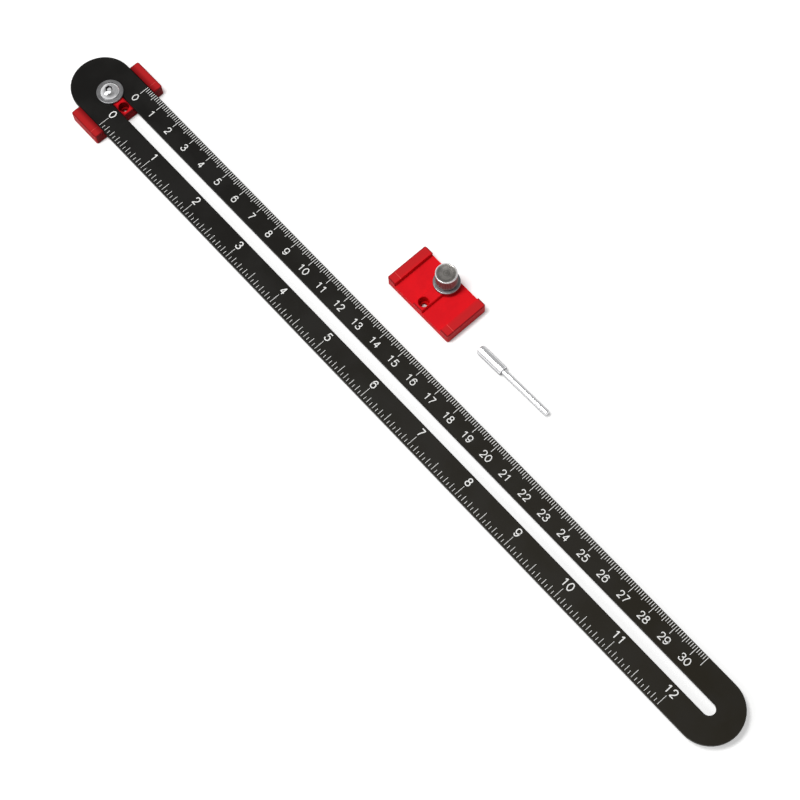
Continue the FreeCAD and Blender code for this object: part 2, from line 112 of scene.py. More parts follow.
def localMillimetres(tree, centre=(0, 0, 0), turn=(0, 0, 0)):
    # Object coordinates, centred and turned on a piece, in millimetres
    place = addNode(tree, "ShaderNodeTexCoord")
    mapping = addNode(tree, "ShaderNodeMapping", vector_type="TEXTURE")
    tree.links.new(place.outputs["Object"], mapping.inputs["Vector"])
    mapping.inputs["Location"].default_value = centre
    mapping.inputs["Rotation"].default_value = turn
    mapping.inputs["Scale"].default_value = (mm, mm, mm)
    return mapping.outputs["Vector"]


def splitVector(tree, vector):
    node = addNode(tree, "ShaderNodeSeparateXYZ")
    tree.links.new(vector, node.inputs[0])
    return node.outputs


def axisDistance(tree, place):
    # how far a spot lies from the local Z axis
    squares = mathNode(tree, "MULTIPLY", place["Y"], place["Y"])
    return mathNode(tree, "SQRT", mathNode(tree, "MULTIPLY_ADD", place["X"], place["X"], squares))


def bump(tree, principled, height, depth):
    node = addNode(tree, "ShaderNodeBump")
    node.inputs["Distance"].default_value = depth * mm
    tree.links.new(height, node.inputs["Height"])
    tree.links.new(node.outputs["Normal"], principled.inputs["Normal"])


# Shared surface effects, as shader groups. Every size in them is in millimetres.

groupSettings = {
    "grainDetail": 3,
    "grainRoughness": 0.6,
    "pitShare": 0.6,
    "ringScale": 0.45,
    "ringDetail": 3,
    "ringWave": 0.3,
    "lineDetail": 2,
    "lineRoughness": 0.6,
    "smudgeDetail": 4,
    "smudgeRoughness": 0.55,
    "smudgeFrom": 0.36,
    "smudgeTo": 0.66,
}


def newGroup(name, inputs, outputs):
    # inputs are name: default, with None for a vector, and outputs are names of plain values
    group = bpy.data.node_groups.new(name, "ShaderNodeTree")
    for label, default in inputs.items():
        kind = "NodeSocketVector" if default is None else "NodeSocketFloat"
        socket = group.interface.new_socket(label, in_out="INPUT", socket_type=kind)
        if default is not None:
            socket.default_value = default
    for label in outputs:
        group.interface.new_socket(label, in_out="OUTPUT", socket_type="NodeSocketFloat")
    return group, group.nodes.new("NodeGroupInput"), group.nodes.new("NodeGroupOutput")


def placeGroup(tree, group, vector, **values):
    node = addNode(tree, "ShaderNodeGroup", node_tree=group)
    tree.links.new(vector, node.inputs["Vector"])
    for label, value in values.items():
        plug(tree, node.inputs[label], value)
    return node.outputs


def scaledVector(tree, vector, size):
    inverse = mathNode(tree, "DIVIDE", 1.0, size)
    node = addNode(tree, "ShaderNodeVectorMath", operation="SCALE")
    tree.links.new(vector, node.inputs[0])
    tree.links.new(inverse, node.inputs["Scale"])
    return node.outputs[0]


def noise(tree, vector, detail, roughness):
    node = addNode(tree, "ShaderNodeTexNoise")
    tree.links.new(vector, node.inputs["Vector"])
    node.inputs["Scale"].default_value = 1
    node.inputs["Detail"].default_value = detail
    node.inputs["Roughness"].default_value = roughness
    return node.outputs[0]


def makeBlastedGrain():
    # the even grain of bead blasting: small round pits under a softer unevenness
    group, given, result = newGroup("blastedGrain", {"Vector": None, "Size": 0.2}, ("Height", "Tone"))
    vector = scaledVector(group, given.outputs["Vector"], given.outputs["Size"])
    pits = addNode(group, "ShaderNodeTexVoronoi", feature="SMOOTH_F1")
    group.links.new(vector, pits.inputs["Vector"])
    pits.inputs["Scale"].default_value = 1
    soft = noise(group, vector, groupSettings["grainDetail"], groupSettings["grainRoughness"])
    height = mathNode(group, "MULTIPLY_ADD", pits.outputs["Distance"], groupSettings["pitShare"], soft)
    group.links.new(height, result.inputs["Height"])
    group.links.new(soft, result.inputs["Tone"])
    return group


def makeTurnedRings():
    # the rings that a lathe tool leaves round a piece's own Z axis
    group, given, result = newGroup("turnedRings", {"Vector": None, "Pitch": 0.2}, ("Height", "Tone"))
    across = splitVector(group, given.outputs["Vector"])
    turns = mathNode(group, "DIVIDE", axisDistance(group, across), given.outputs["Pitch"])
    uneven = addNode(group, "ShaderNodeTexNoise", noise_dimensions="1D")
    group.links.new(turns, uneven.inputs["W"])
    uneven.inputs["Scale"].default_value = groupSettings["ringScale"]
    uneven.inputs["Detail"].default_value = groupSettings["ringDetail"]
    wave = mathNode(group, "SINE", mathNode(group, "MULTIPLY", turns, math.tau))
    height = mathNode(group, "MULTIPLY_ADD", wave, groupSettings["ringWave"], uneven.outputs[0])
    group.links.new(height, result.inputs["Height"])
    group.links.new(uneven.outputs[0], result.inputs["Tone"])
    return group


def makeGroundLines():
    # fine lines drawn out along the local X axis, as from grinding or brushing
    group, given, result = newGroup(
        "groundLines", {"Vector": None, "Pitch": 0.08, "Stretch": 40.0}, ("Height", "Tone"))
    along = splitVector(group, scaledVector(group, given.outputs["Vector"], given.outputs["Pitch"]))
    joined = addNode(group, "ShaderNodeCombineXYZ")
    group.links.new(mathNode(group, "DIVIDE", along["X"], given.outputs["Stretch"]), joined.inputs["X"])
    group.links.new(along["Y"], joined.inputs["Y"])
    group.links.new(along["Z"], joined.inputs["Z"])
    lines = noise(group, joined.outputs[0], groupSettings["lineDetail"], groupSettings["lineRoughness"])
    group.links.new(lines, result.inputs["Height"])
    group.links.new(lines, result.inputs["Tone"])
    return group


def makeHandling():
    # broad soft smudges where fingers have been, from 0 to 1
    group, given, result = newGroup("handling", {"Vector": None, "Size": 8.0}, ("Mask",))
    vector = scaledVector(group, given.outputs["Vector"], given.outputs["Size"])
    smudges = noise(group, vector, groupSettings["smudgeDetail"], groupSettings["smudgeRoughness"])
    mask = remap(group, smudges, groupSettings["smudgeFrom"], groupSettings["smudgeTo"])
    group.links.new(mask, result.inputs["Mask"])
    return group


blastedGrain = makeBlastedGrain()
turnedRings = makeTurnedRings()
groundLines = makeGroundLines()
handling = makeHandling()
print("shader groups made")


# Small helpers for meshes. Settings are in millimetres, the meshes in metres.

meshSettings = {
    "roundingSegments": 3,
    "segmentsPerMm": 8,
    "weld": 0.0005,
    "sharpDegrees": 35,
    "sink": 0.05,
}


def turnedShape(profile, steps, closed=False):
    # profile rows are radius, height and rounding, and the shape is turned round the Z axis
    shape = bmesh.new()
    corners = [shape.verts.new((row[0] * mm, 0, row[1] * mm)) for row in profile]
    for first, second in zip(corners, corners[1:] + corners[:closed]):
        shape.edges.new((first, second))
    for corner, (_, _, rounding) in zip(corners, profile):
        if rounding:
            segments = meshSettings["roundingSegments"] + int(rounding * meshSettings["segmentsPerMm"])
            bmesh.ops.bevel(shape, geom=[corner], offset=rounding * mm, offset_type="OFFSET",
                            segments=segments, profile=0.5, affect="VERTICES", material=-1)
    bmesh.ops.spin(shape, geom=shape.verts[:] + shape.edges[:], cent=(0, 0, 0), axis=(0, 0, 1),
                   dvec=(0, 0, 0), angle=math.tau, steps=steps, use_merge=True, use_duplicate=False)
    tidyShape(shape)
    return shape


def tidyShape(shape):
    bmesh.ops.remove_doubles(shape, verts=shape.verts, dist=meshSettings["weld"] * mm)
    bmesh.ops.recalc_face_normals(shape, faces=shape.faces)


def threadShape(thread, low, high):
    # one ridge wound round the Z axis, with a flat crest, from a low to a high level
    core, crest, pitch = thread["core"] - meshSettings["sink"], thread["crest"], thread["pitch"]
    foot, flat = pitch * thread["footShare"] / 2, pitch * thread["crestShare"] / 2
    ridge = bmesh.new()
    rows = ((core, low), (crest, low + foot - flat), (crest, low + foot + flat), (core, low + 2 * foot))
    face = ridge.faces.new([ridge.verts.new((radius * mm, 0, height * mm)) for radius, height in rows])
    turns = (high - low - 2 * foot) / pitch
    steps = thread["stepsPerTurn"]
    count = int(turns * steps)
    bmesh.ops.spin(ridge, geom=[face, *face.edges, *face.verts], cent=(0, 0, 0), axis=(0, 0, 1),
                   dvec=(0, 0, pitch * mm / steps), angle=math.tau * count / steps, steps=count,
                   use_merge=False, use_duplicate=False)
    bmesh.ops.recalc_face_normals(ridge, faces=ridge.faces)
    return ridge


def addShape(shape, other):
    # puts another shape's faces into the first one
    carrier = bpy.data.meshes.new("carrier")
    other.to_mesh(carrier)
    other.free()
    shape.from_mesh(carrier)
    bpy.data.meshes.remove(carrier)


def smoothMesh(mesh):
    # smooth all over, apart from the sharp edges
    mesh.shade_smooth()
    mesh.set_sharp_from_angle(angle=math.radians(meshSettings["sharpDegrees"]))


def makePiece(name, shape, place, material, body, replaced):
    bmesh.ops.transform(shape, matrix=place, verts=shape.verts)
    mesh = bpy.data.meshes.new(name)
    shape.to_mesh(mesh)
    shape.free()
    smoothMesh(mesh)
    piece = bpy.data.objects.new(name, mesh)
    scene.collection.objects.link(piece)
    mesh.materials.append(material)
    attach(piece, body)
    if replaced:
        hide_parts(replaced)
    return piece


def flattenNormals(piece):
    # keeps flats flat beside small roundings
    piece.modifiers.new("flatNormals", "WEIGHTED_NORMAL").keep_sharp = True


def bakedMesh(piece):
    graph = bpy.context.evaluated_depsgraph_get()
    return bpy.data.meshes.new_from_object(piece.evaluated_get(graph))


def combine(piece, shape, place, operation):
    # cuts a helper shape out of a piece, or joins it on, and deletes the helper
    bmesh.ops.transform(shape, matrix=place, verts=shape.verts)
    mesh = bpy.data.meshes.new("helper")
    shape.to_mesh(mesh)
    shape.free()
    helper = bpy.data.objects.new("helper", mesh)
    scene.collection.objects.link(helper)
    modifier = piece.modifiers.new("combine", "BOOLEAN")
    modifier.operation = operation
    modifier.solver = "EXACT"
    modifier.object = helper
    result = bakedMesh(piece)
    piece.modifiers.clear()
    former = piece.data
    piece.data = result
    result.name = piece.name
    bpy.data.objects.remove(helper)
    bpy.data.meshes.remove(mesh)
    bpy.data.meshes.remove(former)


def topCentre(node):
    # middle of a node's box, at its top
    low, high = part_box(node)
    return Vector(((low[0] + high[0]) / 2, (low[1] + high[1]) / 2, high[2]))


# The beam: black anodised, with a painted light gradient that makes it lighter and warmer towards its far end

beamLook = {
    "headColour": (0.0030, 0.0027, 0.0022),
    "farPaintedLightColour": (0.0125, 0.0095, 0.0035),
    "smudgeColour": (0.0085, 0.0076, 0.0062),
    "smudgeAmount": 0.30,
    "smudgeSize": 14.0,
    "speckle": 0.25,
    "roughness": (0.34, 0.44),
    "specular": 0.18,
    "grainSize": 0.16,
    "grainDepth": 0.006,
}


def makeBeamMaterial():
    material, tree, principled = newMaterial("blackAnodised")
    vector = localMillimetres(tree)
    low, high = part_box("beam")
    along = remap(tree, splitVector(tree, vector)["X"], low[0] / mm, high[0] / mm)
    smudges = placeGroup(tree, handling, vector, Size=beamLook["smudgeSize"])["Mask"]
    grain = placeGroup(tree, blastedGrain, vector, Size=beamLook["grainSize"])
    # painted light: the colour is painted lighter and warmer towards the far end
    colour = mixColour(tree, along, beamLook["headColour"], beamLook["farPaintedLightColour"])
    touched = mathNode(tree, "MULTIPLY", smudges, beamLook["smudgeAmount"])
    colour = mixColour(tree, touched, colour, beamLook["smudgeColour"])
    speckle = mathNode(tree, "MULTIPLY", grain["Tone"], beamLook["speckle"])
    colour = mixColour(tree, speckle, colour, beamLook["smudgeColour"])
    tree.links.new(colour, principled.inputs["Base Color"])
    roughness = mixValue(tree, smudges, *beamLook["roughness"])
    tree.links.new(roughness, principled.inputs["Roughness"])
    principled.inputs["Specular IOR Level"].default_value = beamLook["specular"]
    bump(tree, principled, grain["Height"], beamLook["grainDepth"])
    return material


# White marking: the ticks of both scales and their numbers

markingLook = {
    "clean": (0.86, 0.86, 0.84),
    "thin": (0.62, 0.61, 0.59),
    "grainSize": 0.12,
    "grainDepth": 0.004,
    "patchSize": 5.0,
    "wornFrom": 0.5,
    "wornTo": 0.75,
    "roughness": 0.55,
}


def makeMarkingMaterial():
    material, tree, principled = newMaterial("whiteMarking")
    vector = localMillimetres(tree)
    grain = placeGroup(tree, blastedGrain, vector, Size=markingLook["grainSize"])
    patches = placeGroup(tree, handling, vector, Size=markingLook["patchSize"])["Mask"]
    thin = remap(tree, grain["Tone"], markingLook["wornFrom"], markingLook["wornTo"])
    worn = mathNode(tree, "MULTIPLY", thin, patches)
    colour = mixColour(tree, worn, markingLook["clean"], markingLook["thin"])
    tree.links.new(colour, principled.inputs["Base Color"])
    principled.inputs["Roughness"].default_value = markingLook["roughness"]
    bump(tree, principled, grain["Height"], markingLook["grainDepth"])
    return material


# Red anodised blocks, with a fine blasted grain, a light scribed index line on each lip, and painted shade on
# the lips, bevels, bores and channel

redLook = {
    "colour": (0.78, 0.008, 0.014),
    "deepColour": (0.60, 0.006, 0.012),
    "lipShadeColour": (0.57, 0.016, 0.019),
    "closedLipShadeColour": (0.46, 0.016, 0.018),
    "lineColour": (0.82, 0.090, 0.085),
    "shadeColour": (0.085, 0.002, 0.004),
    "boreShadeColour": (0.62, 0.002, 0.003),
    "closedBoreShadeColour": (0.30, 0.002, 0.003),
    "bevelShadeColour": (0.20, 0.008, 0.012),
    "bevelShade": 0.7,
    "smudgeAmount": 0.45,
    "smudgeSize": 6.0,
    "roughness": (0.42, 0.50),
    "metallic": 0.10,
    "specular": 0.06,
    "grainSize": 0.14,
    "grainDepth": 0.006,
    "lineHalfWidth": 0.12,
    "lineSoftness": 0.05,
    "lineDepth": 0.3,
    "channelHalf": 12.6,
    "lipFade": (11.6, 14.2),
    "pivotInset": 3.3,
    "bevelWidth": 0.45,
    "bevelHeight": 0.34,
    "boreRadius": 2.2,
    "boreDepth": 0.5,
    "beamShadowWidth": 2.4,
    "channelShade": 0.78,
    "ribMiddle": 1.2,
    "ribHalf": 2.35,
    "ribShade": 0.12,
    "endDepth": 0.2,
    "endShade": 0.7,
}


def shadeRed(tree, place, offMiddle, node, closed, colour):
    # painted shade: bevels and bores are painted darker, and where the beam is, the ends, the rib and the
    # lips' inner edges are painted in the shade of the beam and the channel
    look, soft = redLook, redLook["lineSoftness"]
    low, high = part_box(node)
    length, width = sorted((high[axis] - low[axis]) / mm for axis in (0, 1))
    top = high[2] / mm
    middle = look["pivotInset"] - length / 2
    offEnds = mathNode(tree, "ABSOLUTE", mathNode(tree, "SUBTRACT", place["X"], middle))
    endEdge, sideEdge = length / 2 - look["bevelWidth"], width / 2 - look["bevelWidth"]
    # painted shade: a band along the top edges, the bevels, is painted dark
    outside = mathNode(tree, "MAXIMUM", remap(tree, offEnds, endEdge, endEdge + soft),
                       remap(tree, offMiddle, sideEdge, sideEdge + soft))
    upper = remap(tree, place["Z"], top - look["bevelHeight"] - soft, top - look["bevelHeight"])
    bevel = mathNode(tree, "MULTIPLY", outside, mathNode(tree, "MULTIPLY", upper, look["bevelShade"]))
    colour = mixColour(tree, bevel, colour, look["bevelShadeColour"])
    # painted shade: the bores are painted darker, more so in the head block
    radius = axisDistance(tree, place)
    bore = mathNode(tree, "MULTIPLY", remap(tree, radius, look["boreRadius"] + soft, look["boreRadius"]),
                    remap(tree, place["Z"], top - look["boreDepth"] + soft, top - look["boreDepth"]))
    colour = mixColour(tree, bore, colour, look["closedBoreShadeColour"] if closed else look["boreShadeColour"])
    if not closed:
        return colour
    # painted shadow of the beam along the lips' inner edges, and painted shade on the rib and the ends
    beamShadow = remap(tree, offMiddle, look["channelHalf"] + look["beamShadowWidth"], look["channelHalf"],
                 0.0, look["channelShade"])
    rib = remap(tree, offMiddle, look["ribMiddle"], look["ribHalf"], look["ribShade"], look["channelShade"])
    onSide = mathNode(tree, "GREATER_THAN", offMiddle, look["channelHalf"] / 2)
    ends = remap(tree, offEnds, length / 2 - look["endDepth"], length / 2, 0.0, look["endShade"])
    shade = mathNode(tree, "MAXIMUM", mixValue(tree, onSide, rib, beamShadow), ends)
    return mixColour(tree, shade, colour, look["shadeColour"])


def makeRedMaterial(name, node, pivot, turn, closed):
    # pivot is the block's own zero, on the axis of its pivot hole, and closed means that the beam is in it
    material, tree, principled = newMaterial(name)
    vector = localMillimetres(tree, pivot, (0, 0, turn))
    place = splitVector(tree, vector)
    smudges = placeGroup(tree, handling, vector, Size=redLook["smudgeSize"])["Mask"]
    grain = placeGroup(tree, blastedGrain, vector, Size=redLook["grainSize"])
    dark = mathNode(tree, "MULTIPLY", smudges, redLook["smudgeAmount"])
    colour = mixColour(tree, dark, redLook["colour"], redLook["deepColour"])
    offLine, offMiddle = (mathNode(tree, "ABSOLUTE", place[axis]) for axis in ("X", "Y"))
    half, soft = redLook["lineHalfWidth"], redLook["lineSoftness"]
    line = remap(tree, offLine, half, half - soft)
    onLip = remap(tree, offMiddle, redLook["channelHalf"] - soft, redLook["channelHalf"])
    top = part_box(node)[1][2] / mm
    near = remap(tree, place["Z"], top - redLook["lineDepth"] - soft, top - redLook["lineDepth"])
    line = mathNode(tree, "MULTIPLY", line, mathNode(tree, "MULTIPLY", onLip, near))
    # painted shade: the lips are painted darker than the floor of the channel, darker still in the head block
    # where the beam lies
    lipShadeColour = redLook["closedLipShadeColour"] if closed else redLook["lipShadeColour"]
    colour = mixColour(tree, remap(tree, offMiddle, *redLook["lipFade"]), colour, lipShadeColour)
    colour = mixColour(tree, line, colour, redLook["lineColour"])
    colour = shadeRed(tree, place, offMiddle, node, closed, colour)
    tree.links.new(colour, principled.inputs["Base Color"])
    tree.links.new(mixValue(tree, smudges, *redLook["roughness"]), principled.inputs["Roughness"])
    principled.inputs["Metallic"].default_value = redLook["metallic"]
    principled.inputs["Specular IOR Level"].default_value = redLook["specular"]
    bump(tree, principled, grain["Height"], redLook["grainDepth"])
    return material


# Plated and turned steel, one material for each finish

steelTones = {
    "spread": (0.3, 0.7),
    "faceSpread": (0.35, 0.65),
}


def makeSteelMaterial(name, look, centre, turn=(0, 0, 0)):
    material, tree, principled = newMaterial(name)
    vector = localMillimetres(tree, centre, turn)
    smudges = placeGroup(tree, handling, vector, Size=look["smudgeSize"])["Mask"]
    rings = placeGroup(tree, turnedRings, vector, Pitch=look["ringPitch"])
    lines = placeGroup(tree, groundLines, vector, Pitch=look["linePitch"], Stretch=look["lineStretch"])
    marks = mixValue(tree, look["lineShare"], rings["Height"], lines["Height"])
    tone = mixValue(tree, look["lineShare"], rings["Tone"], lines["Tone"])
    spread = remap(tree, tone, *steelTones["spread"])
    colour = mixColour(tree, spread, look["colour"], look["darkColour"])
    roughness = mixValue(tree, smudges, *look["roughness"])
    if "faceShadeColour" in look:
        # a turned face at the top, inside a radius, is painted darker and duller than the rim, a painted
        # shade
        place = splitVector(tree, vector)
        radius = axisDistance(tree, place)
        face = remap(tree, radius, look["faceRadius"], look["faceRadius"] - look["faceSoftness"])
        high = remap(tree, place["Z"], -look["faceDepth"] - look["faceSoftness"], -look["faceDepth"])
        face = mathNode(tree, "MULTIPLY", face, high)
        faceSpread = remap(tree, tone, *steelTones["faceSpread"])
        shadedFace = mixColour(tree, faceSpread, look["faceShadeColour"], look["faceDeepShadeColour"])
        colour = mixColour(tree, face, colour, shadedFace)
        marks = mathNode(tree, "MULTIPLY", marks, mixValue(tree, face, look["outsideMarks"], 1.0))
        # painted shade: the knurled side below is painted darker than the rim
        under = remap(tree, place["Z"], -look["sideDepth"][0], -look["sideDepth"][1])
        knurled = mixColour(tree, spread, look["sideShadeColour"], look["sideDeepShadeColour"])
        colour = mixColour(tree, under, colour, knurled)
        roughness = mixValue(tree, under, roughness, look["sideRoughness"])
    if "socketShadeColour" in look:
        # the walls of a socket in the top are painted dark, a painted shade in the recess, round a bright
        # middle that is rougher
        place = splitVector(tree, vector)
        radius = axisDistance(tree, place)
        outer, inner, soft = look["socketRadius"], look["middleRadius"], look["socketSoftness"]
        ring = mathNode(tree, "MULTIPLY", remap(tree, radius, outer, outer - soft),
                        remap(tree, radius, inner - soft, inner))
        low = remap(tree, place["Z"], -look["socketFrom"], -look["socketFrom"] - soft)
        colour = mixColour(tree, mathNode(tree, "MULTIPLY", ring, low), colour, look["socketShadeColour"])
        middle = mathNode(tree, "MULTIPLY", remap(tree, radius, inner, inner - soft), low)
        roughness = mixValue(tree, middle, roughness, look["middleRoughness"])
    tree.links.new(colour, principled.inputs["Base Color"])
    tree.links.new(roughness, principled.inputs["Roughness"])
    principled.inputs["Metallic"].default_value = 1
    if "edgeTint" in look:
        principled.inputs["Specular Tint"].default_value = (*look["edgeTint"], 1)
    bump(tree, principled, marks, look["markDepth"])
    return material


washerLook = {
    "colour": (0.30, 0.30, 0.305),
    "darkColour": (0.19, 0.19, 0.195),
    "smudgeSize": 3.0,
    "ringPitch": 0.22,
    "linePitch": 0.1,
    "lineStretch": 6.0,
    "lineShare": 0.35,
    "roughness": (0.34, 0.46),
    "markDepth": 0.010,
}
washerShape = {
    "holeRadius": 2.1,
    "edgeRounding": 0.16,
    "topRounding": 0.30,
    "footGap": 0.025,
    "steps": 96,
}


def makeWasher(name, node, body):
    low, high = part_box(node)
    centre = topCentre(node)
    radius = (high[0] - low[0]) / 2 / mm
    height = (high[2] - low[2]) / mm
    hole, edge, crown = (washerShape[key] for key in ("holeRadius", "edgeRounding", "topRounding"))
    # a hair's breadth over the beam, so that it slides clear of the printed numbers
    foot = washerShape["footGap"] - height
    profile = ((hole, 0, edge), (radius, 0, crown), (radius, foot, edge), (hole, foot, edge))
    shape = turnedShape(profile, washerShape["steps"], closed=True)
    material = makeSteelMaterial(name + "Steel", washerLook, centre)
    piece = makePiece(name, shape, Matrix.Translation(centre), material, body, node)
    flattenNormals(piece)


# The thread that both clamping screws share, of 4 mm diameter

threadSettings = {
    "core": 1.62,
    "crest": 1.98,
    "pitch": 0.7,
    "footShare": 0.86,
    "crestShare": 0.16,
    "stepsPerTurn": 32,
    "tipBevel": 0.4,
    "relief": 0.45,
}


def threadRows(length):
    # the plain core of a threaded shank, from under the head down to the tip
    core, tip = threadSettings["core"], threadSettings["tipBevel"]
    return ((core, 0, 0), (core, tip - length, 0), (core - tip, -length, 0), (0, -length, 0))


def addThread(shape, length):
    tip, relief = threadSettings["tipBevel"], threadSettings["relief"]
    addShape(shape, threadShape(threadSettings, tip - length, -relief))


# The head screw: a plated button head with a hexagon socket

headScrewLook = {
    "colour": (0.78, 0.78, 0.79),
    "darkColour": (0.60, 0.60, 0.61),
    "smudgeSize": 2.2,
    "ringPitch": 0.16,
    "linePitch": 0.1,
    "lineStretch": 4.0,
    "lineShare": 0.3,
    "roughness": (0.16, 0.26),
    "markDepth": 0.004,
    "socketShadeColour": (0.09, 0.09, 0.09),
    "socketRadius": 1.5,
    "middleRadius": 0.85,
    "socketFrom": 0.12,
    "socketSoftness": 0.06,
    "middleRoughness": 0.5,
}
headScrewShape = {
    "headRadius": 3.8,
    "headHeight": 2.2,
    "flatRadius": 1.5,
    "footHeight": 0.5,
    "domeSteps": 16,
    "rimRounding": 0.14,
    "socketWidth": 2.5,
    "socketDepth": 0.9,
    "drillDepth": 0.12,
    "mouthBevel": 0.10,
    "steps": 96,
}


def hexagonShape(widthAcrossFlats, low, high):
    shape = bmesh.new()
    radius = widthAcrossFlats / 2 / math.cos(math.pi / 6)
    bmesh.ops.create_circle(shape, cap_ends=True, segments=6, radius=radius * mm)
    bmesh.ops.translate(shape, vec=(0, 0, low * mm), verts=shape.verts)
    rise = bmesh.ops.extrude_face_region(shape, geom=shape.faces[:])
    lifted = [item for item in rise["geom"] if isinstance(item, bmesh.types.BMVert)]
    bmesh.ops.translate(shape, vec=(0, 0, (high - low) * mm), verts=lifted)
    bmesh.ops.recalc_face_normals(shape, faces=shape.faces)
    return shape


def domeRows(size):
    # a button head's round top: a piece of a sphere from the flat round its socket to its foot
    flat, rim, height, foot = (size[key] for key in ("flatRadius", "headRadius", "headHeight", "footHeight"))
    centre = (flat ** 2 + height ** 2 - rim ** 2 - foot ** 2) / 2 / (height - foot)
    sphere = math.hypot(flat, height - centre)
    first, last = math.asin(flat / sphere), math.asin(rim / sphere)
    angles = [first + (last - first) * step / size["domeSteps"] for step in range(size["domeSteps"] + 1)]
    return tuple((sphere * math.sin(angle), centre + sphere * math.cos(angle), 0) for angle in angles)


def makeHeadScrew():
    size = headScrewShape
    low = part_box("head_screw")[0]
    centre = topCentre("head_screw")
    foot = centre - Vector((0, 0, size["headHeight"] * mm))
    length = (foot.z - low[2]) / mm
    head = ((0, size["headHeight"], 0), *domeRows(size), (size["headRadius"], 0, size["rimRounding"]))
    shape = turnedShape(head + threadRows(length), size["steps"])
    material = makeSteelMaterial("headScrewSteel", headScrewLook, centre)
    piece = makePiece("headScrew", shape, Matrix.Translation(foot), material,
                      "head_screw", "head_screw")
    place = Matrix.Translation(centre)
    width, depth, over = size["socketWidth"], size["socketDepth"], size["mouthBevel"]
    combine(piece, hexagonShape(width, -depth, over), place, "DIFFERENCE")
    across = width / 2 / math.cos(math.pi / 6)
    drill = turnedShape(((0, 0, 0), (width / 2, 0, 0), (0, -size["drillDepth"], 0)), size["steps"])
    combine(piece, drill, place @ Matrix.Translation((0, 0, -depth * mm)), "DIFFERENCE")
    mouth = turnedShape(((0, over, 0), (across + over, over, 0), (across - over, -over, 0), (0, -over, 0)),
                        size["steps"])
    combine(piece, mouth, place, "DIFFERENCE")
    thread = bmesh.new()
    addThread(thread, length)
    bmesh.ops.transform(thread, matrix=Matrix.Translation(foot), verts=thread.verts)
    whole = bmesh.new()
    whole.from_mesh(piece.data)
    addShape(whole, thread)
    whole.to_mesh(piece.data)
    whole.free()
    smoothMesh(piece.data)
    flattenNormals(piece)


# The thumb screw: a knurled knob with a turned dish, a polished rim and a threaded stud

knobLook = {
    "colour": (0.80, 0.79, 0.79),
    "darkColour": (0.70, 0.69, 0.69),
    "sideShadeColour": (0.30, 0.285, 0.285),
    "sideDeepShadeColour": (0.20, 0.19, 0.19),
    "sideDepth": (0.28, 0.36),
    "sideRoughness": 0.5,
    "faceShadeColour": (0.36, 0.34, 0.32),
    "faceDeepShadeColour": (0.20, 0.19, 0.175),
    "faceRadius": 3.72,
    "faceSoftness": 0.05,
    "faceDepth": 0.3,
    "outsideMarks": 0.25,
    "smudgeSize": 3.0,
    "ringPitch": 0.30,
    "linePitch": 0.1,
    "lineStretch": 6.0,
    "lineShare": 0.15,
    "roughness": (0.24, 0.34),
    "markDepth": 0.008,
}
knobShape = {
    "radius": 4.2,
    "height": 7.0,
    "rimBevel": 0.26,
    "neckRadius": 3.5,
    "neckHeight": 0.6,
    "dishRadius": 3.7,
    "dishDepth": 0.2,
    "teeth": 42,
    "stepsPerTooth": 4,
    "grooveDepth": 0.16,
    "plainBand": 0.25,
    "runOut": 0.12,
    "smallRounding": 0.05,
}


def cutKnurl(shape, size):
    # presses every second pair of steps of the side inwards
    inset = size["rimBevel"] + size["plainBand"] + size["runOut"] / 2
    low, high = size["neckHeight"] + inset, size["height"] - inset
    step = math.tau / size["teeth"] / size["stepsPerTooth"]
    share = 1 - size["grooveDepth"] / size["radius"]
    for corner in shape.verts:
        outside = corner.co.xy.length > (size["radius"] - meshSettings["sink"]) * mm
        if not outside or not low * mm < corner.co.z < high * mm:
            continue
        number = round(math.atan2(corner.co.y, corner.co.x) / step)
        if number % size["stepsPerTooth"] >= size["stepsPerTooth"] // 2:
            corner.co.x *= share
            corner.co.y *= share


def makeThumbScrew():
    size = knobShape
    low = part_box("thumb_screw")[0]
    centre = topCentre("thumb_screw")
    foot = centre - Vector((0, 0, size["height"] * mm))
    length = (foot.z - low[2]) / mm
    radius, height, bevel = size["radius"], size["height"], size["rimBevel"]
    small, band, runOut, neck = (size[key] for key in ("smallRounding", "plainBand", "runOut", "neckHeight"))
    profile = (
        (0, height - size["dishDepth"], 0),
        (size["dishRadius"] - size["dishDepth"], height - size["dishDepth"], small),
        (size["dishRadius"], height, small),
        (radius - bevel, height, small),
        (radius, height - bevel, small),
        (radius, height - bevel - band, 0),
        (radius, height - bevel - band - runOut, 0),
        (radius, neck + bevel + band + runOut, 0),
        (radius, neck + bevel + band, 0),
        (radius, neck + bevel, small),
        (radius - bevel, neck, small),
        (size["neckRadius"], neck, 0),
        (size["neckRadius"], 0, small),
    )
    shape = turnedShape(profile + threadRows(length), size["teeth"] * size["stepsPerTooth"])
    cutKnurl(shape, size)
    addThread(shape, length)
    material = makeSteelMaterial("knobSteel", knobLook, centre)
    piece = makePiece("thumbScrew", shape, Matrix.Translation(foot), material,
                      "thumb_screw", "thumb_screw")
    flattenNormals(piece)


# The pivot pin: ground and polished, lying on the table

pinLook = {
    "colour": (0.90, 0.90, 0.91),
    "darkColour": (0.84, 0.84, 0.86),
    "smudgeSize": 4.0,
    "ringPitch": 0.2,
    "linePitch": 0.6,
    "lineStretch": 0.5,
    "lineShare": 0.95,
    "roughness": (0.19, 0.21),
    "markDepth": 0.0001,
    "edgeTint": (0.06, 0.06, 0.06),
}
pinShape = {
    "thickRadius": 1.95,
    "thinRadius": 1.15,
    "thickLength": 12.2,
    "thinLength": 23.2,
    "edge": 0.3,
    "tipRounding": 0.75,
    "shoulderGroove": 0.12,
    "smallRounding": 0.06,
    "turnDegrees": 1.1,
    "steps": 64,
}


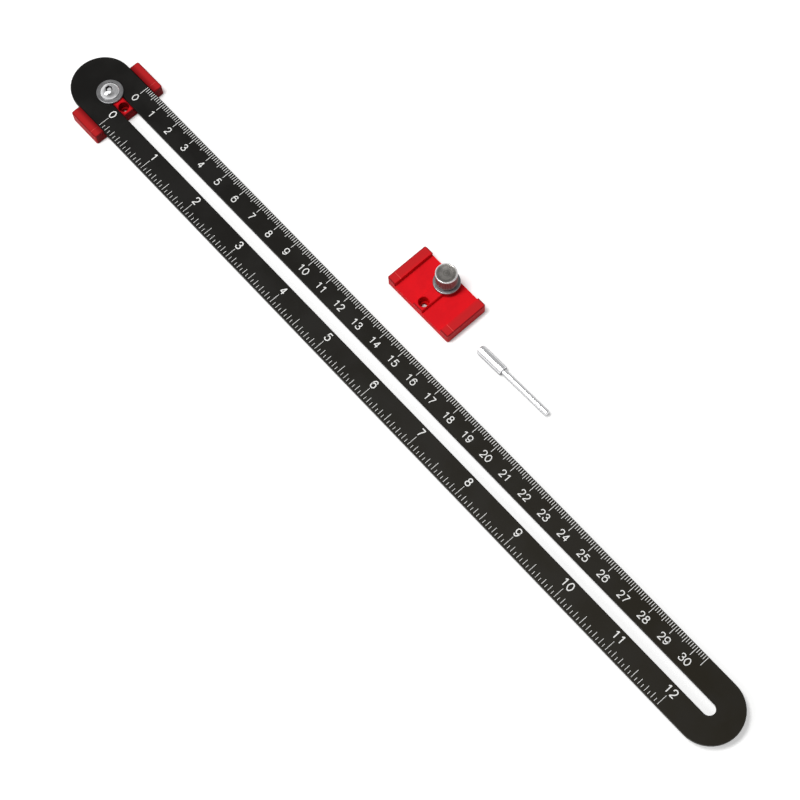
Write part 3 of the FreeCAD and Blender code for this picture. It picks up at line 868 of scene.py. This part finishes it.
def makePivotPin():
    size = pinShape
    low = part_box("pivot_pin")[0]
    turn = math.radians(size["turnDegrees"])
    thick, thin, edge, small = (size[key] for key in ("thickRadius", "thinRadius", "edge", "smallRounding"))
    start = Vector((low[0] + thick * mm * math.sin(turn), low[1] + thick * mm * math.cos(turn),
                    low[2] + thick * mm))
    shoulder = size["thickLength"]
    end = shoulder + size["thinLength"]
    groove = size["shoulderGroove"]
    profile = (
        (0, 0, 0),
        (thick - edge, 0, small),
        (thick, edge, small),
        (thick, shoulder - edge, small),
        (thick - edge, shoulder, small),
        (thin - groove, shoulder, 0),
        (thin - groove, shoulder + groove, 0),
        (thin, shoulder + 2 * groove, small),
        (thin, end, size["tipRounding"]),
        (0, end, 0),
    )
    shape = turnedShape(profile, size["steps"])
    place = Matrix.Translation(start) @ Matrix.Rotation(turn, 4, "Z") @ Matrix.Rotation(math.pi / 2, 4, "Y")
    material = makeSteelMaterial("pinSteel", pinLook, start, (0, 0, turn))
    piece = makePiece("pivotPin", shape, place, material, "pivot_pin", "pivot_pin")
    flattenNormals(piece)


# The numbers of both scales, drawn as strokes. A stroke's points are shares of a digit's width
# and height, and "loop", "bow" and "line" say how it runs through them.

digitStrokes = {
    "0": (("loop", (0.5, 1), (0, 0.68), (0, 0.32), (0.5, 0), (1, 0.32), (1, 0.68)),),
    "1": (("line", (0.58, 0), (0.58, 1)), ("line", (0.14, 0.76), (0.58, 0.97))),
    "2": (("bow", (0.04, 0.70), (0.18, 0.93), (0.5, 1), (0.86, 0.91), (0.96, 0.72), (0.80, 0.46),
           (0.34, 0.19), (0.05, 0)), ("line", (0.02, 0), (0.98, 0))),
    "3": (("bow", (0.05, 0.75), (0.18, 0.94), (0.48, 1), (0.80, 0.93), (0.90, 0.76), (0.77, 0.58),
           (0.40, 0.53)), ("bow", (0.40, 0.53), (0.86, 0.46), (1, 0.27), (0.86, 0.06), (0.48, 0),
                           (0.13, 0.06), (0, 0.26))),
    "4": (("line", (0.72, 0), (0.72, 1)), ("line", (0.72, 0.98), (0.02, 0.28)),
          ("line", (0, 0.27), (1, 0.27))),
    "5": (("line", (0.16, 1), (0.92, 1)), ("line", (0.20, 1), (0.09, 0.50)),
          ("bow", (0.09, 0.50), (0.28, 0.62), (0.55, 0.66), (0.88, 0.56), (1, 0.33), (0.87, 0.08),
           (0.48, 0), (0.13, 0.06), (0, 0.25))),
    "6": (("bow", (0.93, 0.79), (0.80, 0.95), (0.52, 1), (0.19, 0.87), (0.03, 0.60), (0.01, 0.36),
           (0.10, 0.10), (0.5, 0), (0.90, 0.10), (1, 0.32), (0.88, 0.56), (0.52, 0.65),
           (0.16, 0.54), (0.03, 0.36)),),
    "7": (("line", (0.03, 1), (0.97, 1)), ("bow", (0.96, 0.99), (0.63, 0.58), (0.42, 0.27), (0.34, 0))),
    "8": (("loop", (0.5, 1), (0.10, 0.77), (0.5, 0.54), (0.90, 0.77)),
          ("loop", (0.5, 0.54), (0, 0.27), (0.5, 0), (1, 0.27))),
}
numberScales = {
    "centimetreNumbers": {
        "pitch": 10.0,
        "last": 30,
        "foot": 4.3,
        "height": 3.1,
        "width": 2.05,
        "advance": 2.45,
        "stroke": 0.36,
        "marks": "centimetre_marks",
    },
    "inchNumbers": {
        "pitch": 25.4,
        "last": 12,
        "foot": -7.0,
        "height": 3.45,
        "width": 2.2,
        "advance": 2.65,
        "stroke": 0.42,
        "marks": "inch_marks",
    },
}
curveSteps = 6


def digitCurve(kind, points, cell, profile):
    # one stroke as a curve in the cell's plane, with a flat bar as its section
    curve = bpy.data.curves.new("stroke", "CURVE")
    curve.dimensions = "3D"
    curve.twist_mode = "Z_UP"
    curve.resolution_u = curveSteps
    curve.bevel_mode = "OBJECT"
    curve.bevel_object = profile
    curve.use_fill_caps = kind != "loop"
    spline = curve.splines.new("BEZIER")
    spline.bezier_points.add(len(points) - 1)
    spline.use_cyclic_u = kind == "loop"
    for point, (across, up) in zip(spline.bezier_points, points):
        point.co = (across * cell[0], up * cell[1], 0)
        point.handle_left_type = point.handle_right_type = "VECTOR" if kind == "line" else "AUTO"
    return curve


def barProfile(width, thickness):
    curve = bpy.data.curves.new("bar", "CURVE")
    spline = curve.splines.new("POLY")
    spline.points.add(3)
    spline.use_cyclic_u = True
    for point, (across, up) in zip(spline.points, ((-1, -1), (1, -1), (1, 1), (-1, 1))):
        point.co = (across * width / 2, up * thickness / 2, 0, 1)
    profile = bpy.data.objects.new("bar", curve)
    scene.collection.objects.link(profile)
    return profile


def strokeShape(kind, points, cell, profile):
    curve = digitCurve(kind, points, cell, profile)
    carrier = bpy.data.objects.new("stroke", curve)
    scene.collection.objects.link(carrier)
    mesh = bakedMesh(carrier)
    bpy.data.objects.remove(carrier)
    bpy.data.curves.remove(curve)
    shape = bmesh.new()
    shape.from_mesh(mesh)
    bpy.data.meshes.remove(mesh)
    tidyShape(shape)
    return shape


def digitMesh(digit, cell, profile):
    strokes = digitStrokes["6" if digit == "9" else digit]
    if digit == "9":
        strokes = [(kind, *((1 - across, 1 - up) for across, up in points)) for kind, *points in strokes]
    mesh = bpy.data.meshes.new("digit" + digit)
    piece = bpy.data.objects.new("digit" + digit, mesh)
    scene.collection.objects.link(piece)
    first, *others = [strokeShape(kind, points, cell, profile) for kind, *points in strokes]
    first.to_mesh(mesh)
    first.free()
    for other in others:
        combine(piece, other, Matrix(), "UNION")
    result = piece.data
    bpy.data.objects.remove(piece)
    return result


def makeNumbers(name, material):
    size = numberScales[name]
    low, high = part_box(size["marks"])
    film = high[2] - low[2]
    profile = barProfile(size["stroke"] * mm, film)
    cell = ((size["width"] - size["stroke"]) * mm, (size["height"] - size["stroke"]) * mm)
    digits = {digit: digitMesh(digit, cell, profile) for digit in "0123456789"}
    bpy.data.objects.remove(profile)
    shape = bmesh.new()
    for number in range(size["last"] + 1):
        text = str(number)
        start = number * size["pitch"] - size["advance"] * (len(text) - 1) / 2 - size["width"] / 2
        for index, digit in enumerate(text):
            copy = digits[digit].copy()
            corner = (start + size["stroke"] / 2 + index * size["advance"], size["foot"] + size["stroke"] / 2)
            copy.transform(Matrix.Translation((corner[0] * mm, corner[1] * mm, (low[2] + high[2]) / 2)))
            shape.from_mesh(copy)
            bpy.data.meshes.remove(copy)
    for mesh in digits.values():
        bpy.data.meshes.remove(mesh)
    makePiece(name, shape, Matrix(), material, "beam", None)


def wear(node, material):
    # a node of the frame takes a material
    for holder in nodes[node].material_slots:
        holder.material = material


beamMaterial = makeBeamMaterial()
markingMaterial = makeMarkingMaterial()
wear("beam", beamMaterial)
wear("centimetre_marks", markingMaterial)
wear("inch_marks", markingMaterial)
sliderPivot = next(mount["pos_m"] for mount in frame["record"]["mounts"]
                   if mount["name"] == "slider_point_bore")
wear("head_block", makeRedMaterial("headBlockRed", "head_block", (0, 0, 0), 0, True))
wear("slider_block", makeRedMaterial("sliderBlockRed", "slider_block", sliderPivot, -math.pi / 2, False))
print("beam, marks and blocks finished")

makeWasher("headWasher", "head_washer", "head_washer")
makeWasher("knobWasher", "knob_washer", "knob_washer")
makeHeadScrew()
makeThumbScrew()
makePivotPin()
print("washers, screws and pin made")

for scaleName in numberScales:
    makeNumbers(scaleName, markingMaterial)
print("numbers made")


# Floor, world, lamps and camera

floorSettings = {
    "halfSize": 2.0,
    "colour": (0.80, 0.80, 0.795),
    "paperSize": 60.0,
    "paperShare": 0.02,
    "roughness": 0.9,
    "glow": 0.42,
    "farGlow": 1.0,
    "contactReach": 0.002,
    "mirrorReach": 0.010,
    "mirrorPower": 1.6,
    "holeReach": 0.0055,
    "holeFrom": 0.12,
    "holeTo": 0.42,
    "skySamples": 8,
    "farFrom": 300,
    "farTo": 850,
    "drop": 0.00002,
}


def seenRays(tree):
    # 1 for rays that show the background directly, in metal or through glass
    path = addNode(tree, "ShaderNodeLightPath")
    seen = mathNode(tree, "MAXIMUM", path.outputs["Is Camera Ray"], path.outputs["Is Glossy Ray"])
    return mathNode(tree, "MAXIMUM", seen, path.outputs["Is Transmission Ray"])


def openness(tree, reach):
    # how much of the sky a spot sees past what stands within reach
    node = addNode(tree, "ShaderNodeAmbientOcclusion", samples=floorSettings["skySamples"])
    plug(tree, node.inputs["Distance"], reach)
    return node.outputs["AO"]


def makeFloor():
    look = floorSettings
    shape = bmesh.new()
    bmesh.ops.create_grid(shape, x_segments=1, y_segments=1, size=look["halfSize"])
    bmesh.ops.translate(shape, vec=(0, 0, -look["drop"]), verts=shape.verts)
    mesh = bpy.data.meshes.new("floor")
    shape.to_mesh(mesh)
    shape.free()
    floor = bpy.data.objects.new("floor", mesh)
    scene.collection.objects.link(floor)
    material, tree, principled = newMaterial("paleFloor")
    vector = localMillimetres(tree)
    paper = placeGroup(tree, handling, vector, Size=look["paperSize"])["Mask"]
    light = mathNode(tree, "MULTIPLY", paper, look["paperShare"])
    tone = mixColour(tree, light, look["colour"], (1, 1, 1))
    principled.inputs["Roughness"].default_value = look["roughness"]
    principled.inputs["Specular IOR Level"].default_value = 0
    principled.inputs["Emission Color"].default_value = (1, 1, 1, 1)
    # seen directly, only contacts and narrow holes are dark, and metal shows the shade further out
    path = addNode(tree, "ShaderNodeLightPath")
    reach = mixValue(tree, path.outputs["Is Glossy Ray"], look["contactReach"], look["mirrorReach"])
    near = openness(tree, reach)
    hole = remap(tree, openness(tree, look["holeReach"]), look["holeFrom"], look["holeTo"])
    mirrored = mathNode(tree, "POWER", near, look["mirrorPower"])
    shade = mixValue(tree, path.outputs["Is Glossy Ray"], mathNode(tree, "MULTIPLY", near, hole), mirrored)
    # far from the lamps the glow takes over, so the floor stays white out to the horizon
    far = remap(tree, axisDistance(tree, splitVector(tree, vector)), look["farFrom"], look["farTo"])
    glow = mathNode(tree, "MULTIPLY", seenRays(tree), mixValue(tree, far, look["glow"], look["farGlow"]))
    tree.links.new(mathNode(tree, "MULTIPLY", glow, shade), principled.inputs["Emission Strength"])
    dark = mathNode(tree, "MULTIPLY", path.outputs["Is Glossy Ray"], mathNode(tree, "SUBTRACT", 1, mirrored))
    dark = mathNode(tree, "MAXIMUM", dark, far)
    tree.links.new(mixColour(tree, dark, tone, (0, 0, 0)), principled.inputs["Base Color"])
    mesh.materials.append(material)


worldSettings = {
    "fill": 0.26,
    "horizon": 1.0,
    "overhead": 0.34,
    "overheadFrom": 0.30,
    "overheadTo": 0.72,
    "back": 0.50,
    "backFrom": 0.28,
    "backTo": 0.52,
    "darkToward": (0.37, -0.25, 0.89),
    "darkFrom": 0.94,
    "darkTo": 0.985,
    "darkShade": 0.35,
}


def makeWorld():
    world = bpy.data.worlds.new("studio")
    scene.world = world
    world.use_nodes = True
    tree = world.node_tree
    sky = tree.nodes["Background"]
    look = worldSettings
    place = addNode(tree, "ShaderNodeTexCoord")
    toward = splitVector(tree, place.outputs["Generated"])
    level = remap(tree, toward["Z"], look["overheadFrom"], look["overheadTo"],
                  look["horizon"], look["overhead"])
    behind = remap(tree, toward["Y"], look["backFrom"], look["backTo"])
    mirrored = mixValue(tree, behind, level, look["back"])
    facing = addNode(tree, "ShaderNodeVectorMath", operation="DOT_PRODUCT")
    tree.links.new(place.outputs["Generated"], facing.inputs[0])
    facing.inputs[1].default_value = Vector(look["darkToward"]).normalized()
    dark = remap(tree, facing.outputs["Value"], look["darkFrom"], look["darkTo"], 1.0, look["darkShade"])
    mirrored = mathNode(tree, "MULTIPLY", mirrored, dark)
    path = addNode(tree, "ShaderNodeLightPath")
    clear = mathNode(tree, "MAXIMUM", path.outputs["Is Camera Ray"], path.outputs["Is Transmission Ray"])
    strength = mixValue(tree, path.outputs["Is Glossy Ray"], look["fill"], mirrored)
    strength = mixValue(tree, clear, strength, 1.0)
    tree.links.new(strength, sky.inputs["Strength"])
    sky.inputs["Color"].default_value = (1, 1, 1, 1)


lampAim = (0.15, 0.012, 0)
lampSettings = {
    "key": {
        "toward": (-0.172, -0.193, 0.966),
        "distance": 1.2,
        "size": 0.30,
        "power": 8.1,
    },
    "front": {
        "toward": (-0.27, -0.62, 0.73),
        "distance": 1.2,
        "size": 0.45,
        "power": 3.9,
    },
}
cameraSettings = {
    "place": (0.3806537, -0.1587866, 0.6728022),
    "turnDegrees": (21.737516, 2.373889, 48.353337),
    "lens": 89.7903,
    "sensor": 36,
    "nearest": 0.01,
}


def makeLamp(name, settings):
    light = bpy.data.lights.new(name, "AREA")
    light.shape = "SQUARE"
    light.size = settings["size"]
    light.energy = settings["power"]
    lamp = bpy.data.objects.new(name, light)
    scene.collection.objects.link(lamp)
    toward = Vector(settings["toward"]).normalized()
    lamp.location = Vector(lampAim) + toward * settings["distance"]
    lamp.rotation_euler = (-toward).to_track_quat("-Z", "Y").to_euler()


def makeCamera():
    lensData = bpy.data.cameras.new("camera")
    lensData.lens = cameraSettings["lens"]
    lensData.sensor_width = cameraSettings["sensor"]
    lensData.clip_start = cameraSettings["nearest"]
    camera = bpy.data.objects.new("camera", lensData)
    scene.collection.objects.link(camera)
    camera.location = cameraSettings["place"]
    camera.rotation_euler = Euler([math.radians(angle) for angle in cameraSettings["turnDegrees"]])
    scene.camera = camera


makeFloor()
makeWorld()
for lampName, lampValues in lampSettings.items():
    makeLamp(lampName, lampValues)
makeCamera()
print("floor, world, lamps and camera set")
